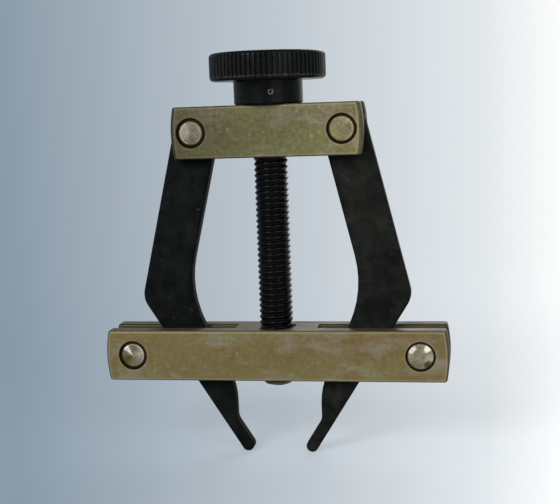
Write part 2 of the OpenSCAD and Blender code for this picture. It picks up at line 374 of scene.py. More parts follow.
# %% [markdown]
# ## Plated bar steel
# The bars are square cold-drawn steel with yellow zinc plating. Age has dulled it to olive brass, with
# brownish, grey and greenish clouds, a fine mottle, faint scratches and pale specks. An unwrapped bar
# could be painted, but noise of several sizes, stretched along the bar as drawing did, needs no seams.

# %% Colours of the plating
# Real grain and scratches are finer than these, which are drawn as coarse as they need to show.
CLOUD_MM, PATCH_MM, TINT_MM, MOTTLE_MM, GRAIN_MM, SCRATCH_MM = 9, 5, 3.5, 1.2, 0.45, 0.35


def clouded_plating(tree, here, tones, speckle):
    """Colour of the plating, with the noises of its patches, mottle and grain.

    tones are its main colour and that of its clouds, and speckle is how strong the mottle is.
    """
    drawn, streak = (
        add(tree, "Mapping", {"Vector": here, "Rotation": (0, lean, 0), "Scale": (along, 1, 1)}).outputs[0]
        for lean, along in ((0.04, 0.45), (0.12, 0.05))
    )
    noises = (
        {"Vector": at, "Scale": per_mm(size), "Detail": detail, "Roughness": 0.55}
        for at, size, detail in (
            (drawn, CLOUD_MM, 2.0),
            (drawn, PATCH_MM, 3.0),
            (drawn, TINT_MM, 3.0),
            (here, MOTTLE_MM, 5.0),
            (here, GRAIN_MM, 3.0),
            (streak, SCRATCH_MM, 2.0),
        )
    )
    cloud, patch, tint, mottle, grain, scratch = (
        add(tree, "TexNoise", noise).outputs["Fac"] for noise in noises
    )
    colour = layered(tree, linear(tones[0]), [
        (cloud, 0.42, 0.6, 1.0, tones[1]),
        (patch, 0.5, 0.68, 0.85, "#8a826c"),
        (tint, 0.53, 0.7, 0.6, "#7a7d58"),
        (scratch, 0.63, 0.74, 0.3, "#a39b82"),
        (mottle, 0.63, 0.72, 0.5 * speckle, "#a29b80"),
        (grain, 0.42, 0.3, 0.45 * speckle, "#4d4930"),
        (grain, 0.6, 0.72, 0.4 * speckle, "#a29a7c"),
    ])
    return colour, patch, mottle, grain


print("plating patterns from", CLOUD_MM, "mm clouds to", SCRATCH_MM, "mm scratches")

# %% [markdown]
# ### Wear of the plating, with painted light and shade
# A pale line along the edges and round the pins is partly rubbed plating and partly a painted highlight.
# The edges and ends just outside it are darkened with painted shade, and so are the slots. The grooves
# round the pins are darkened by grease and painted shade. Painted by hand, it would fit one bar only.
# Distances from edge, pin and slot, worked out from a point's own coordinates, place it on both.

# %% Wear and painted shading of the plating
END_BULGE_R = 33 * MM
SLOT_HALF = 2.5 * MM
EDGE_WANDER = 0.9 * MM
# Dark tone for grease and painted shade in the grooves round the pins.
GREASE_AND_SHADE = "#2a1e0c"


def plating_wear_and_shading(tree, colour, here, mottle, half, pin_x, slot_x, end_band):
    """Colour of the plating with its wear and painted light and shade, by the distances from edges, pins
    and slots.

    The distance from an end is the half length less x and less the bulge there, z^2 / (2 * radius).
    The pale line along the edges wanders with the mottle, and end_band is how far in the painted shade
    at the ends reaches.
    """
    away = add(tree, "VectorMath", {0: here}, operation="ABSOLUTE").outputs[0]
    x, y, z = add(tree, "SeparateXYZ", {0: away}).outputs
    spread = add(tree, "Math", {0: z, 1: z}, operation="MULTIPLY").outputs[0]
    to_end = add(tree, "Math", {0: spread, 1: 0.5 / END_BULGE_R, 2: x}, operation="MULTIPLY_ADD").outputs[0]
    from_end = add(tree, "Math", {0: half[0], 1: to_end}, operation="SUBTRACT").outputs[0]
    from_top = add(tree, "Math", {0: half[2], 1: z}, operation="SUBTRACT").outputs[0]
    past_corner = add(tree, "Math", {0: from_end, 1: end_band}, operation="SUBTRACT").outputs[0]
    nearest = add(tree, "Math", {0: past_corner, 1: from_top}, operation="MINIMUM").outputs[0]
    wander = add(tree, "Math", {0: mottle, 1: 0.5}, operation="SUBTRACT").outputs[0]
    border = add(tree, "Math", {0: wander, 1: EDGE_WANDER, 2: nearest}, operation="MULTIPLY_ADD").outputs[0]
    from_pin = add(tree, "VectorMath", {0: away, 1: (pin_x, 0, 0)}, operation="SUBTRACT").outputs[0]
    flat = add(tree, "VectorMath", {0: from_pin, 1: (1, 0, 1)}, operation="MULTIPLY").outputs[0]
    reach = add(tree, "VectorMath", {0: flat}, operation="LENGTH").outputs["Value"]
    beyond = add(tree, "Math", {0: x, 1: slot_x}, operation="GREATER_THAN").outputs[0]
    wall = {"Value": y, "From Min": SLOT_HALF + 0.7 * MM, "From Max": SLOT_HALF + 0.3 * MM}
    walled = add(tree, "MapRange", wall).outputs[0]
    slot_shade = add(tree, "Math", {0: beyond, 1: walled}, operation="MULTIPLY").outputs[0]
    return layered(tree, colour, [
        # Pale line along the edges: rubbed plating and a painted highlight.
        (border, 0.9 * MM, 0.5 * MM, 0.5, "#a79b78"),
        # Painted shade on the rounded edges and the ends.
        (nearest, 0.45 * MM, 0.2 * MM, 0.75, "#35321f"),
        # Pale ring round the pin holes: rubbed plating and a painted highlight.
        (reach, PIN_R + 0.75 * MM, PIN_R + 0.3 * MM, 0.4, "#a0977c"),
        # Grease and painted shade in the groove round each pin.
        (reach, PIN_R + 0.24 * MM, PIN_R + 0.1 * MM, 1.0, GREASE_AND_SHADE),
        # Painted shade in the slots.
        (slot_shade, 0.0, 1.0, 0.7, "#1d1a12"),
    ])


print("slots", 2 * SLOT_HALF / MM, "mm wide, dark inside")

# %% [markdown]
# ### Both platings
# The upper bar's left end is duller than its right one, and the grey patches of both bars shine less than
# the rest. Dents and grain are too shallow to show in an outline, so they are bumps in the shading.

# %% Plated bar steel
UPPER_SLOT_X = 14.05 * MM
LOWER_SLOT_X = 11.75 * MM


def plated_steel(name, centre, half, pin_x, slot_x, tones, shades, speckle, end_band):
    """Aged yellow zinc plating of a bar of that centre and half size, with pins and slots at those x.

    shades are the brightness of its left and right ends.
    """
    material, tree = new_material(name)
    place = add(tree, "TexCoord").outputs["Object"]
    here = add(tree, "VectorMath", {0: place, 1: centre}, operation="SUBTRACT").outputs[0]
    colour, patch, mottle, grain = clouded_plating(tree, here, tones, speckle)
    colour = plating_wear_and_shading(tree, colour, here, mottle, half, pin_x, slot_x, end_band)

    along = add(tree, "SeparateXYZ", {0: here}).outputs[0]
    spans = (
        (along, -half[0], half[0], *shades),
        (mottle, 0.3, 0.7, 1 - 0.2 * speckle, 1 + 0.2 * speckle),
        (patch, 0.3, 0.7, 0.45, 0.62),
    )
    dimmed, spotted, rough = (
        add(tree, "MapRange", dict(zip(RANGE, span))).outputs[0] for span in spans
    )
    shade = add(tree, "Math", {0: dimmed, 1: spotted}, operation="MULTIPLY").outputs[0]
    layer = {0: 1.0, MIX_A: colour, MIX_B: shade}
    colour = add(tree, "Mix", layer, data_type="RGBA", blend_type="MULTIPLY").outputs[MIX_OUT]

    dents = add(tree, "Bump", {"Height": mottle, "Strength": 0.3, "Distance": 0.03 * MM}).outputs[0]
    grains = {"Height": grain, "Strength": 0.3, "Distance": 0.02 * MM, "Normal": dents}
    relief = add(tree, "Bump", grains).outputs[0]
    finish = {"Base Color": colour, "Metallic": 0.25, "Roughness": rough}
    finish |= {"Specular IOR Level": 0.15, "Normal": relief}
    shader = add(tree, "BsdfPrincipled", finish)
    add(tree, "OutputMaterial", {"Surface": shader.outputs[0]})
    return material


upper_plating = plated_steel(
    "yellow_zinc_plated_steel_upper",
    upper_mid,
    upper_half,
    pivot_mid[0],
    UPPER_SLOT_X,
    tones=("#76714a", "#6f6644"),
    shades=(0.42, 1.03),
    speckle=1.2,
    end_band=0.65 * MM,
)
lower_plating = plated_steel(
    "yellow_zinc_plated_steel_lower",
    lower_mid,
    lower_half,
    guide_mid[0],
    LOWER_SLOT_X,
    tones=("#7b6d44", "#77633e"),
    shades=(0.95, 0.92),
    speckle=0.7,
    end_band=0.25 * MM,
)
print("made", upper_plating.name, "and", lower_plating.name)

# %% [markdown]
# ## Black oxide steel
# Knob, screw and arms were blackened in a hot salt bath, which leaves a matt, nearly neutral black. It
# shows as soft uneven gloss, faint grey clouds, tiny pale nicks, and grey on what sticks out furthest,
# which is partly bare metal and partly a painted highlight. On turned pieces that is told by the distance
# from the axis.

# %% Black oxide steel
# Sizes of clouds, blots, nicks and grain. Real grain is finer, and is drawn as coarse as it needs to show.
OXIDE_MM = (9, 3, 1.3, 0.4)


def black_oxide(name, dark, light, gloss, rough, crest_wear_and_sheen=None, bare_end=None, rim=None):
    """Black oxide between two tones, with its gloss and the two ends of its roughness.

    The paler crests are a tone and the two distances from the screw's axis between which it sets in,
    partly wear and partly a painted highlight. bare_end is a tone and the two heights between which it
    does, and rim a tone, a height and how far off it is laid: a paler lower rim, partly chips and partly a
    painted highlight.
    """
    material, tree = new_material(name)
    place = add(tree, "TexCoord").outputs["Object"]
    height = add(tree, "SeparateXYZ", {0: place}).outputs[2]
    noises = (
        {"Vector": place, "Scale": per_mm(size), "Detail": 4.0, "Roughness": 0.6}
        for size in OXIDE_MM
    )
    cloud, blot, nick, grain = (add(tree, "TexNoise", noise).outputs["Fac"] for noise in noises)
    both = add(tree, "Math", {0: cloud, 1: blot}, operation="MULTIPLY").outputs[0]
    layers = [(both, 0.15, 0.38, 1.0, light), (nick, 0.66, 0.74, 0.5, "#4a4a45")]
    # Paler crests, partly wear and partly a painted highlight.
    if crest_wear_and_sheen:
        tone, start, full = crest_wear_and_sheen
        flat = add(tree, "VectorMath", {0: place, 1: (1, 1, 0)}, operation="MULTIPLY").outputs[0]
        reach = add(tree, "VectorMath", {0: flat}, operation="LENGTH").outputs["Value"]
        ridge = add(tree, "MapRange", {"Value": reach, "From Min": start, "From Max": full}).outputs[0]
        rubbed = add(tree, "MapRange", {"Value": nick, "From Min": 0.3, "From Max": 0.65}).outputs[0]
        share = add(tree, "Math", {0: ridge, 1: rubbed}, operation="MULTIPLY").outputs[0]
        layers.append((share, 0.0, 1.0, 1.0, tone))
    # Paler rim, partly chips and partly a painted highlight.
    if rim:
        tone, level, reach = rim
        off = add(tree, "Math", {0: height, 1: level}, operation="SUBTRACT").outputs[0]
        away = add(tree, "Math", {0: off}, operation="ABSOLUTE").outputs[0]
        band = add(tree, "MapRange", {"Value": away, "From Min": reach, "From Max": 0.4 * reach}).outputs[0]
        chipped = add(tree, "MapRange", {"Value": grain, "From Min": 0.45, "From Max": 0.6}).outputs[0]
        share = add(tree, "Math", {0: band, 1: chipped}, operation="MULTIPLY").outputs[0]
        layers.append((share, 0.0, 1.0, 1.0, tone))
    if bare_end:
        tone, start, full = bare_end
        layers.append((height, start, full, 1.0, tone))
    colour = layered(tree, linear(dark), layers)
    matt = add(tree, "MapRange", dict(zip(RANGE, (cloud, 0.3, 0.7, *rough)))).outputs[0]
    relief = add(tree, "Bump", {"Height": grain, "Strength": 0.35, "Distance": 0.02 * MM}).outputs[0]
    finish = {"Base Color": colour, "Roughness": matt, "Specular IOR Level": gloss, "Normal": relief}
    shader = add(tree, "BsdfPrincipled", finish)
    add(tree, "OutputMaterial", {"Surface": shader.outputs[0]})
    return material


print("oxide patterns of", *OXIDE_MM, "mm")

# %% [markdown]
# ### Oxide of each piece
# The arms are matt and the left one is darker. Oil gives screw and knob more gloss, which shows as short
# bright dashes along the thread. The screw's crests and the knob's ribs are paler, partly rubbed and partly
# a painted highlight, the knob's lower rim is chipped and has a painted highlight, and the free end of the
# screw is bare.

# %% Oxide of arms, screw and knob
KNOB_R = knob_half[0]
HEAD_H = 7.6 * MM
HEAD_ROUND = 1.2 * MM
head = knob_mid[2] + knob_half[2] - HEAD_H
underside = lower_mid[2] - BAR_HALF
oxide_arms = {
    "left_arm": black_oxide("black_oxide_steel_left_arm", "#0d0f0d", "#1a1c1a", 0.02, (0.42, 0.6)),
    "right_arm": black_oxide("black_oxide_steel_right_arm", "#141513", "#262723", 0.02, (0.42, 0.6)),
}
oxide_screw = black_oxide(
    "black_oxide_steel_screw",
    "#040403",
    "#090807",
    gloss=0.1,
    rough=(0.13, 0.2),
    # The screw's crests: wear and a faint painted highlight.
    crest_wear_and_sheen=("#0e0f0e", CREST_R - 0.2 * MM, CREST_R),
    bare_end=("#5b5038", underside - 0.6 * MM, underside - 1.0 * MM),
)
oxide_knob = black_oxide(
    "black_oxide_steel_knob",
    "#0b0c0b",
    "#121311",
    gloss=0.085,
    rough=(0.2, 0.3),
    # The knob's rib tops: wear and a painted highlight.
    crest_wear_and_sheen=("#191a19", KNOB_R - 0.3 * MM, KNOB_R),
    # The knob's lower rim: chips and a painted highlight.
    rim=("#4a4a47", head + 0.8 * HEAD_ROUND, 0.35 * MM),
)
print("black oxide for", *oxide_arms, "screw and knob")

# %% [markdown]
# ## Turned pin steel
# The pins are bare steel rod, faced off on a lathe and marked by file and hammer. The fine rings of the
# tool spread the light into wedges. Each end also has its own pale and dark sectors, so a sector is given
# by its angle round the pin: the pale ones are painted highlights, the darkest painted shade, and the
# others stains. Old grease and painted shade darken the groove round each end.

# %% Turned pin steel
# Real tool marks are about 0.05 mm apart, too fine to show, so these rings are drawn 0.3 mm apart.
RING_PITCH = 0.3 * MM
MARK_FADE_MM = 0.4


def turned_steel(name, at, face_r, dull, bright, tarnish, painted_light_and_stains):
    """Bare turned steel of a pin on an axis through at: its dullness, its two tones and its sectors.

    A sector covers the directions within width degrees of its angle, from its start radius outwards.
    The pale sectors are painted highlights, the darkest painted shade, and the others stains.
    """
    material, tree = new_material(name)
    place = add(tree, "TexCoord").outputs["Object"]
    here = add(tree, "VectorMath", {0: place, 1: at}, operation="SUBTRACT").outputs[0]
    flat = add(tree, "VectorMath", {0: here, 1: (1, 0, 1)}, operation="MULTIPLY").outputs[0]
    reach = add(tree, "VectorMath", {0: flat}, operation="LENGTH").outputs["Value"]
    spoke = add(tree, "VectorMath", {0: flat}, operation="NORMALIZE").outputs[0]
    ring = add(tree, "Math", {0: reach, 1: 2 * math.pi / RING_PITCH}, operation="MULTIPLY").outputs[0]
    groove = add(tree, "Math", {0: ring}, operation="SINE").outputs[0]
    noises = (
        {"Vector": place, "Scale": per_mm(size), "Detail": detail, "Roughness": uneven}
        for size, detail, uneven in ((1.6, 4.0, 0.65), (0.5, 3.0, 0.6))
    )
    blotch, fine = (add(tree, "TexNoise", noise).outputs["Fac"] for noise in noises)

    layers = [(blotch, 0.38, 0.66, 1.0, tarnish)]
    # Sectors round the pin: painted highlights, painted shade and stains.
    for angle, width, start, strength, tone in painted_light_and_stains:
        aim = (math.cos(math.radians(angle)), 0, math.sin(math.radians(angle)))
        facing = add(tree, "VectorMath", {0: spoke, 1: aim}, operation="DOT_PRODUCT").outputs["Value"]
        outer, inner = (math.cos(math.radians(width / part)) for part in (1, 3))
        inside = {"Value": facing, "From Min": outer, "From Max": inner}
        sector = add(tree, "MapRange", inside, interpolation_type="SMOOTHSTEP").outputs[0]
        out = (reach, start * MM, (start + MARK_FADE_MM) * MM, 0.0, strength)
        beyond = add(tree, "MapRange", dict(zip(RANGE, out))).outputs[0]
        share = add(tree, "Math", {0: sector, 1: beyond}, operation="MULTIPLY").outputs[0]
        layers.append((share, 0.0, 1.0, 1.0, tone))
    colour = layered(tree, linear(bright), layers)
    pitted = add(tree, "MapRange", dict(zip(RANGE, (fine, 0.3, 0.7, 0.7, 1.25)))).outputs[0]
    layer = {0: 1.0, MIX_A: colour, MIX_B: pitted}
    colour = add(tree, "Mix", layer, data_type="RGBA", blend_type="MULTIPLY").outputs[MIX_OUT]
    # Grease and painted shade darken and dull the groove round the end.
    edge = {"Value": reach, "From Min": face_r - 0.05 * MM, "From Max": face_r + 0.2 * MM}
    grease_and_shade = add(tree, "MapRange", edge, interpolation_type="SMOOTHSTEP").outputs[0]
    colour = layered(tree, colour, [(grease_and_shade, 0.0, 1.0, 1.0, GREASE_AND_SHADE)])

    bare, rough = (
        add(tree, "MapRange", {"Value": grease_and_shade, "To Min": on_face, "To Max": on_edge}).outputs[0]
        for on_face, on_edge in ((1.1 - dull, 0.0), (dull, 0.8))
    )
    relief = add(tree, "Bump", {"Height": groove, "Strength": 0.2, "Distance": 0.008 * MM}).outputs[0]
    turning = add(tree, "Tangent", direction_type="RADIAL", axis="Y").outputs[0]
    finish = {"Base Color": colour, "Metallic": bare, "Roughness": rough, "Anisotropic": 0.6}
    finish |= {"Specular IOR Level": 0.1, "Tangent": turning, "Normal": relief}
    shader = add(tree, "BsdfPrincipled", finish)
    add(tree, "OutputMaterial", {"Surface": shader.outputs[0]})
    return material


print("turning rings", RING_PITCH / MM, "mm apart")

# %% [markdown]
# ## Bars
# A bar's plan is a long rectangle with a sawn slot in each end, and its ends bulge slightly. The frame's
# bars have that shape with sharp edges. Here the plan is carried upwards with all its edges rounded, and
# the pin holes and the screw's hole are cut afterwards, because they cross the other way.

# %% Bar shape
BAR_EDGE = 0.5 * MM
END_CORNER = 0.9 * MM
MOUTH_CORNER = 0.6 * MM
SAW_CORNER = 0.3 * MM
WALL_ROWS = 16
PIN_FIT = 0.02 * MM
HOLE_CHAMFER = 0.3 * MM


def forked_bar(name, centre, half, slot_x):
    """Bar from its plan: right half of the arcs, then the same turned by half a circle.

    At height z an end stands back by its bulge: the radius less the root of radius^2 - z^2.
    """
    end, side = half[0], half[1]
    arcs = []
    for sign, turned_by in ((1, 0), (-1, 180)):
        for corner in (
            ((end - END_CORNER, END_CORNER - side), END_CORNER, -90, 0, 1),
            ((end - MOUTH_CORNER, -SLOT_HALF - MOUTH_CORNER), MOUTH_CORNER, 0, 90, 1),
            ((slot_x + SAW_CORNER, SAW_CORNER - SLOT_HALF), SAW_CORNER, 270, 180, -1),
            ((slot_x + SAW_CORNER, SLOT_HALF - SAW_CORNER), SAW_CORNER, 180, 90, -1),
            ((end - MOUTH_CORNER, SLOT_HALF + MOUTH_CORNER), MOUTH_CORNER, -90, 0, 1),
            ((end - END_CORNER, side - END_CORNER), END_CORNER, 0, 90, 1),
        ):
            at, radius, start, stop, bulge = corner
            arcs.append(arc(sign * np.array(at), radius, start + turned_by, stop + turned_by, bulge))
    plan, height = plate_rings(arcs, half[2], BAR_EDGE, WALL_ROWS)
    at_end = np.abs(plan[len(plan) // 2, :, 0]) > end - 1.01 * END_CORNER
    bulge = END_BULGE_R - np.sqrt(END_BULGE_R**2 - height**2)
    plan[..., 0] -= np.sign(plan[..., 0]) * bulge[:, None] * at_end
    level = np.broadcast_to(height[:, None, None], (*plan.shape[:2], 1))
    return from_rings(name, np.concatenate([plan, level], -1) + centre)


def pin_holes(centre, pin_x):
    """Cutters for the two pin holes of a bar."""
    places = [centre + (x, 0, 0) for x in (-pin_x, pin_x)]
    return [hole_cutter("pin_hole", at, "y", PIN_R + PIN_FIT, HOLE_CHAMFER) for at in places]


print("bar edges rounded by", BAR_EDGE / MM, "mm")

# %% [markdown]
# ### Holes for the screw
# The screw turns freely in a plain bore of the upper bar. The lower bar is its nut, so its hole is cut by a
# rod with the same thread, a little larger all round, and opened at both faces by a countersink.

# %% Upper and lower bar
BORE_CHAMFER = 0.6 * MM
BORE_PLAY = 0.15 * MM
THREAD_PLAY = 0.2 * MM
SINK_R = CREST_R + THREAD_PLAY + BORE_CHAMFER + CUT_PAST


def countersink(side):
    """Cutter for one face of the lower bar: a cone as deep as it is wide, with its tip in the bar."""
    cone = turned([(0, 0), (SINK_R, side * SINK_R)], "z")
    return from_rings("sink", cone + lower_mid + (0, 0, side * (BAR_HALF + CUT_PAST - SINK_R)))


upper_bore = hole_cutter("bore", upper_mid, "z", SCREW_R + BORE_PLAY, BORE_CHAMFER)
upper_bar = cut(
    forked_bar("upper_bar_softened", upper_mid, upper_half, UPPER_SLOT_X),
    *pin_holes(upper_mid, pivot_mid[0]),
    upper_bore,
)
stands_for(upper_bar, "upper_bar", upper_plating)

tap = threaded_rod(
    "tap",
    lower_mid[2] - BAR_HALF - THREAD_PITCH,
    lower_mid[2] + BAR_HALF + THREAD_PITCH,
    THREAD_PLAY,
    lambda radius, height: radius,
)
lower_bar = cut(
    forked_bar("lower_bar_softened", lower_mid, lower_half, LOWER_SLOT_X),
    *pin_holes(lower_mid, guide_mid[0]),
    tap,
    countersink(-1),
    countersink(1),
)
stands_for(lower_bar, "lower_bar", lower_plating)

# %% [markdown]
# ## Jaw arms
# Each arm is sawn from plate: a limb leaning outwards, an elbow, and a jaw leaning back in to a narrow
# round-ended finger. Its edges have been broken with a file, which shows as a soft line of light.

# %% Jaw arms
ARM_EDGE = 0.9 * MM
LIMB_HALF = 6.25 * MM
TIP_R = 1.7 * MM
LIMB_ANGLE, JAW_ANGLE, THROAT_ANGLE = 13.5, 32.3, 25.1
TIP_HALF_GAP = 7.6 * MM
HEEL_AT = np.array([12.25, 18.8]) * MM
ELBOW_R, HOLLOW_R, HEEL_R, NOTCH_R = (r * MM for r in (6, 29, 21, 4))
SWING_FIT = 0.06 * MM


def heading(degrees):
    """Unit vector that leans outwards from straight up by an angle."""
    return np.array([math.sin(math.radians(degrees)), math.cos(math.radians(degrees))])


def across(direction):
    """The direction turned a quarter to the right, which is outwards on the right arm."""
    return np.array([direction[1], -direction[0]])


def meet(p, u, q, v):
    """Point where the line through p along u meets the line through q along v."""
    return p + u * np.linalg.solve(np.stack([u, -v], -1), q - p)[0]


def arm_arcs():
    """Arcs of the right arm's outline in x and z: round top, elbow, tip, notch, heel and hollow."""
    pivot = pivot_mid[[0, 2]]
    tip = np.array([TIP_HALF_GAP + TIP_R, TIP_R])
    limb, jaw, throat = heading(-LIMB_ANGLE), heading(JAW_ANGLE), heading(THROAT_ANGLE)
    outer_limb, inner_limb = (pivot + s * LIMB_HALF * across(limb) for s in (1, -1))
    outer_tip, inner_tip = (tip + s * TIP_R * across(jaw) for s in (1, -1))
    elbow = meet(outer_limb, limb, outer_tip, jaw)
    hollow = meet(inner_limb, limb, HEEL_AT, throat)
    notch = meet(inner_tip, jaw, HEEL_AT, heading(0))
    return [
        arc(pivot, LIMB_HALF, 180 + LIMB_ANGLE, LIMB_ANGLE),
        rounded_corner(outer_limb, elbow, outer_tip, ELBOW_R),
        arc(tip, TIP_R, -JAW_ANGLE, -JAW_ANGLE - 180),
        rounded_corner(inner_tip, notch, HEEL_AT, NOTCH_R, -1),
        rounded_corner(notch, HEEL_AT, hollow, HEEL_R),
        rounded_corner(HEEL_AT, hollow, inner_limb, HOLLOW_R, -1),
    ]


outline, depth = plate_rings(arm_arcs(), arm_half[1], ARM_EDGE)
depth = np.broadcast_to(depth[:, None], outline.shape[:2])
for node, side in (("right_arm", 1), ("left_arm", -1)):
    rings = np.stack([side * outline[..., 0], depth, outline[..., 1]], -1)
    eye = hole_cutter("eye", pivot_mid * (side, 0, 1), "y", PIN_R + SWING_FIT, HOLE_CHAMFER)
    stands_for(cut(from_rings(node + "_softened", rings), eye), node, oxide_arms[node])

# %% [markdown]
# ## Pins
# A pin is a short turned rod. Each visible end was faced by hand and differs a little, so the end is a
# shallow height: the least of a few tilted flats, on top of a slight dome. The table gives each pin's
# place, the radius of its face, its flats as slope and angle, its dome's radius, its dullness, its bright
# and its tarnished tone, and its sectors as angle, width, start in mm, strength and tone. The pale
# sectors are painted highlights, the darkest painted shade, and the others stains.

# %% Pins
END_ROWS = 14


def pin_rings(half_length, face_r, flats, dome_r):
    """Rings of a pin along y: front end, chamfer, side, chamfer, back end.

    Both ends stand back by the dome, distance^2 / (2 * dome radius), and by the steepest of their
    flats, where a flat of slope s facing an angle falls away by s times the distance that way.
    """
    chamfer = PIN_R - face_r
    spread = np.linspace(0, face_r, END_ROWS)
    front = np.concatenate([
        np.stack([spread, np.full(END_ROWS, -half_length)], -1),
        [(PIN_R - 0.2 * chamfer, 0.5 * chamfer - half_length), (PIN_R, chamfer - half_length)],
    ])
    rings = turned(np.concatenate([front, front[::-1] * (1, -1)]), "y")
    x, z = rings[..., 0], rings[..., 2]
    fall = [s * (x * math.cos(math.radians(a)) + z * math.sin(math.radians(a))) for s, a in flats]
    back = np.hypot(x, z) ** 2 / (2 * dome_r) + np.maximum(np.max(fall, axis=0), 0)
    rings[:END_ROWS, :, 1] += back[:END_ROWS]
    rings[-END_ROWS:, :, 1] -= back[-END_ROWS:]
    return rings


# Last lists: pale sectors are painted highlights, the darkest painted shade, the others stains.
PINS = {
    "left_guide_pin": (
        guide_mid * (-1, 0, 1), 3.1 * MM, [(0.06, 225), (0.02, 0)], 60 * MM, 0.4, "#a39884", "#857b68",
        [
            (212, 62, 0.2, 0.9, "#66551f"), (262, 40, 0.8, 0.6, "#988a5e"), (165, 35, 1.6, 0.7, "#6a6342"),
            (130, 21, 0.0, 0.95, "#f8f0da"), (15, 60, 2.5, 0.5, "#c9bebb"),
        ],
    ),
    "right_guide_pin": (
        guide_mid, 3.35 * MM, [(0.03, 135), (0.03, 45), (0.02, 300)], 25 * MM, 0.4, "#988f7c", "#7f775e",
        [
            (225, 70, 0.6, 0.6, "#7f7659"), (140, 30, 2.0, 0.9, "#f6eddc"), (48, 22, 1.7, 0.9, "#fbf3da"),
            (345, 34, 1.1, 0.6, "#c4bba8"), (312, 30, 1.9, 0.85, "#3f3524"),
        ],
    ),
    "left_pivot_pin": (
        pivot_mid * (-1, 0, 1), 3.03 * MM, [(0.01, 90)], 90 * MM, 0.75, "#8b8676", "#767060",
        [
            (165, 75, 0.4, 0.6, "#a9a491"), (285, 50, 0.1, 0.7, "#6a614f"), (180, 100, 2.5, 0.5, "#b9b4a2"),
            (0, 100, 2.5, 0.4, "#a39c8a"),
        ],
    ),
    "right_pivot_pin": (
        pivot_mid, 3.15 * MM, [(0.01, 45)], 90 * MM, 0.6, "#8f8467", "#7e7455",
        [(215, 60, 0.8, 0.5, "#827c4e"), (15, 30, 1.1, 0.6, "#6b5c3a"), (0, 90, 2.5, 0.6, "#b0a080")],
    ),
}
for node, (at, face_r, flats, dome, dull, bright, tarnish, painted_light_and_stains) in PINS.items():
    finish = turned_steel("turned_steel_" + node, at, face_r, dull, bright, tarnish, painted_light_and_stains)
    rings = pin_rings(pivot_half[1], face_r, flats, dome) + at
    stands_for(from_rings(node + "_faced", rings), node, finish)

# %% [markdown]
# ## Knob
# The knob was turned from bar and its rim cut with straight ribs. Its profile goes up the screw's
# socket, out along the collar's foot, up the collar and round the head. A film of oil keeps its foot just
# clear of the upper bar.

# %% Knob profile
COLLAR_R = 9.525 * MM
COLLAR_CHAMFER = 0.4 * MM
COLLAR_CORNER = 0.5 * MM
SOCKET_R = SCREW_R + 0.02 * MM
KNOB_CAP = 3 * MM
OIL_FILM = 0.03 * MM
foot = upper_mid[2] + BAR_HALF + OIL_FILM
crown = head + HEAD_H


def profile_arc(middle_at, radius, start, end):
    """Points of an arc of the profile, in radius and height."""
    return arc(middle_at, radius, start, end)(0)


knob_profile = np.concatenate([
    [(0, crown - KNOB_CAP), (SOCKET_R, crown - KNOB_CAP)],
    [(SOCKET_R, foot + COLLAR_CHAMFER), (SOCKET_R + COLLAR_CHAMFER, foot)],
    [(COLLAR_R - COLLAR_CHAMFER, foot), (COLLAR_R, foot + COLLAR_CHAMFER)],
    profile_arc((COLLAR_R + COLLAR_CORNER, head - COLLAR_CORNER), COLLAR_CORNER, 180, 90),
    profile_arc((KNOB_R - HEAD_ROUND, head + HEAD_ROUND), HEAD_ROUND, -90, 0),
    profile_arc((KNOB_R - HEAD_ROUND, crown - HEAD_ROUND), HEAD_ROUND, 0, 90),
    [(KNOB_R - HEAD_ROUND - FLAT_RIM, crown), (0, crown)],
])
print("knob profile", len(knob_profile), "points")

# %% [markdown]
# ### Ribs and cross hole
# Separate ribs could be set round the rim, but they would meet it in hard lines. Here the radius is the
# lesser of the profile and a ribbed outline, so the ribs run out where the rim rounds off. A cross hole
# takes the roll pin.

# %% Ribbed knob
RIB_COUNT = 72
RIB_COLUMNS = 10
RIB_DEPTH = 0.5 * MM
RIB_TOP, RIB_FOOT = 0.2, 0.42
NEAR_ZERO = 1e-9
ROLL_PIN_R = 0.8 * MM
ROLL_PIN_FIT = 0.01 * MM
ROLL_PIN_TURN = math.radians(14.5)
CROSS_HOLE_COLUMNS = 32


def ribbed(rings):
    """Rings drawn in to the ribbed outline: it falls by the rib's depth times 3 s^2 - 2 s^3.

    The share s goes from 0 at the edge of a rib's top to 1 at its foot.
    """
    off_middle = np.abs(np.arange(rings.shape[1]) / RIB_COLUMNS % 1 - 0.5)
    s = np.clip((off_middle - RIB_TOP) / (RIB_FOOT - RIB_TOP), 0, 1)
    outline = KNOB_R - RIB_DEPTH * s * s * (3 - 2 * s)
    radius = np.hypot(rings[..., 0], rings[..., 1])
    drawn_in = np.minimum(radius, outline) / np.maximum(radius, NEAR_ZERO)
    return rings * np.stack([drawn_in, drawn_in, np.ones_like(drawn_in)], -1)


def cross_hole():
    """Cutter along the roll pin, as long as the collar is wide and a bit more."""
    length, radius = 1.2 * COLLAR_R, ROLL_PIN_R + ROLL_PIN_FIT
    profile = [(0, -length), (radius, -length), (radius, length), (0, length)]
    rings = turned(profile, "y", CROSS_HOLE_COLUMNS)
    lean = np.array(Matrix.Rotation(ROLL_PIN_TURN, 3, "Z"))
    return from_rings("cross_hole", rings @ lean.T + roll_mid)


knob_rings = ribbed(turned(knob_profile, "z", RIB_COUNT * RIB_COLUMNS))
stands_for(cut(from_rings("knob_ribbed", knob_rings), cross_hole()), "knob", oxide_knob)

# %% [markdown]
# ## Screw
# The screw is threaded up to a plain shank that turns in the upper bar and is pinned into the knob. Its
# free end is chamfered, and the thread runs out into the shank over one turn.

# %% Screw
SCREW_CHAMFER = 1.1 * MM
SHANK_IN_BAR = 9 * MM
shank_low = upper_mid[2] + BAR_HALF - SHANK_IN_BAR


